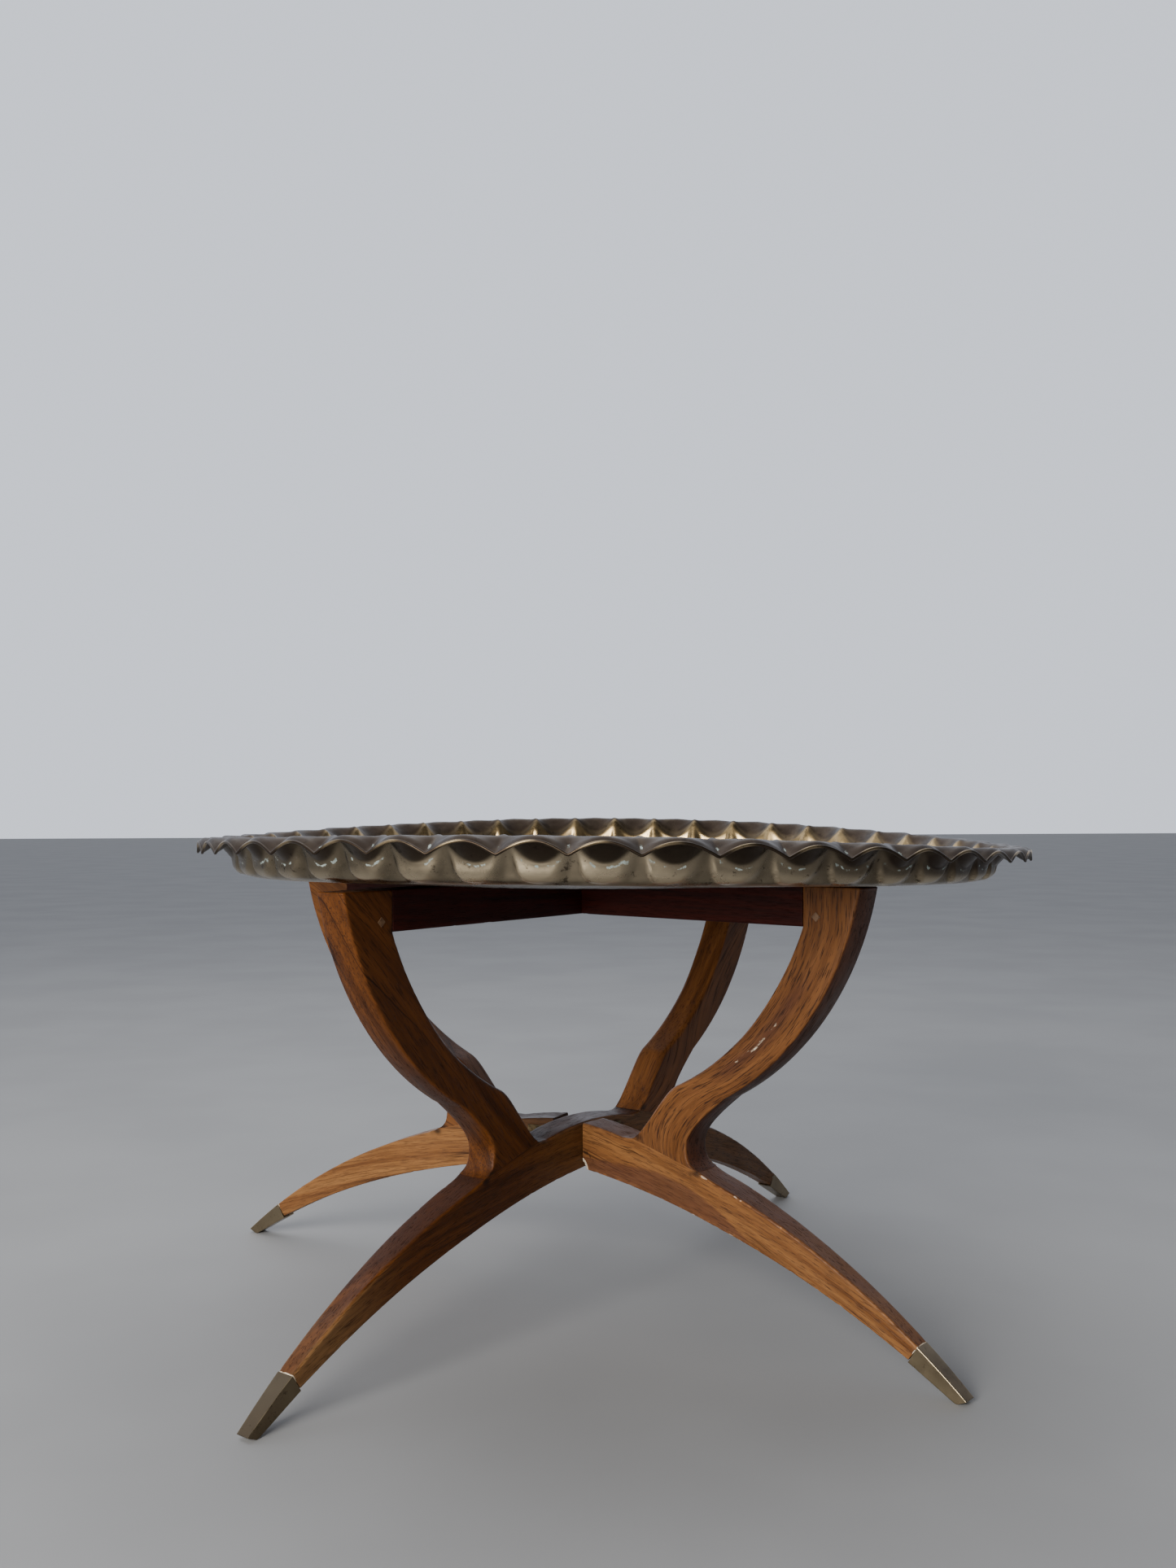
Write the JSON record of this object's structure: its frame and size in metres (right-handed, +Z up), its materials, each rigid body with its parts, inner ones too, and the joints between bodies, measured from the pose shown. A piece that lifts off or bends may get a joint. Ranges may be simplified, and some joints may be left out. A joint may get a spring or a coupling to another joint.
{
  "type": "tray table",
  "caption": "Round fluted brass tray resting on a folding wooden stand whose curved spider legs end in brass ferrules.",
  "frame": {"origin": "on the floor, under the centre of the tray", "axes": "+Z up; +X to the right and +Y to the back as the table stands open, with the dark main frame running from the front left to the back right"},
  "size_m": [0.7998, 0.7998, 0.4655],
  "materials": {
    "tray_brass": "aged hammered brass, olive-brown with bright rubbed patches",
    "main_wood": "dark oiled hardwood with coarse grain",
    "half_wood": "golden brown oiled hardwood with coarse grain",
    "ferrule_brass": "dull dark brass sheet with bright worn edges",
    "peg_wood": "plain hardwood end grain",
    "hinge_brass": "dull brass"
  },
  "bodies": {
    "main_frame": {"main_beam": "main_wood", "main_rail": "main_wood", "front_left_arm": "main_wood", "back_right_arm": "main_wood", "front_left_ferrule": "ferrule_brass", "back_right_ferrule": "ferrule_brass", "main_pegs": "peg_wood", "main_dowels": "peg_wood", "main_hinge_screws": "hinge_brass", "right_lower_fixed_leaf": "hinge_brass", "right_lower_pin": "hinge_brass", "right_upper_fixed_leaf": "hinge_brass", "right_upper_pin": "hinge_brass", "left_lower_fixed_leaf": "hinge_brass", "left_lower_pin": "hinge_brass", "left_upper_fixed_leaf": "hinge_brass", "left_upper_pin": "hinge_brass"},
    "right_half_frame": {"front_right_leg": "half_wood", "front_right_arm": "half_wood", "front_right_rail": "half_wood", "front_right_ferrule": "ferrule_brass", "front_right_peg": "peg_wood", "front_right_dowels": "peg_wood", "right_lower_moving_leaf": "hinge_brass", "right_upper_moving_leaf": "hinge_brass", "right_hinge_screws": "hinge_brass"},
    "left_half_frame": {"back_left_leg": "half_wood", "back_left_arm": "half_wood", "back_left_rail": "half_wood", "back_left_ferrule": "ferrule_brass", "back_left_peg": "peg_wood", "back_left_dowels": "peg_wood", "left_lower_moving_leaf": "hinge_brass", "left_upper_moving_leaf": "hinge_brass", "left_hinge_screws": "hinge_brass"},
    "tray": {"tray": "tray_brass"}
  },
  "joints": [
    {"name": "right_half_fold", "type": "hinge", "parent": "main_frame", "child": "right_half_frame", "pos_m": [-0.00822, -0.0028, 0.2745], "axis": [0, 0, 1], "range_deg": [0, 94.1]},
    {"name": "left_half_fold", "type": "hinge", "parent": "main_frame", "child": "left_half_frame", "pos_m": [-0.06178, -0.0072, 0.2745], "axis": [0, 0, 1], "range_deg": [-13.9, 80.2]},
    {"name": "tray_lift", "type": "slide", "parent": "main_frame", "child": "tray", "axis": [0, 0, 1], "range_m": [0, 0.15]}
  ]
}
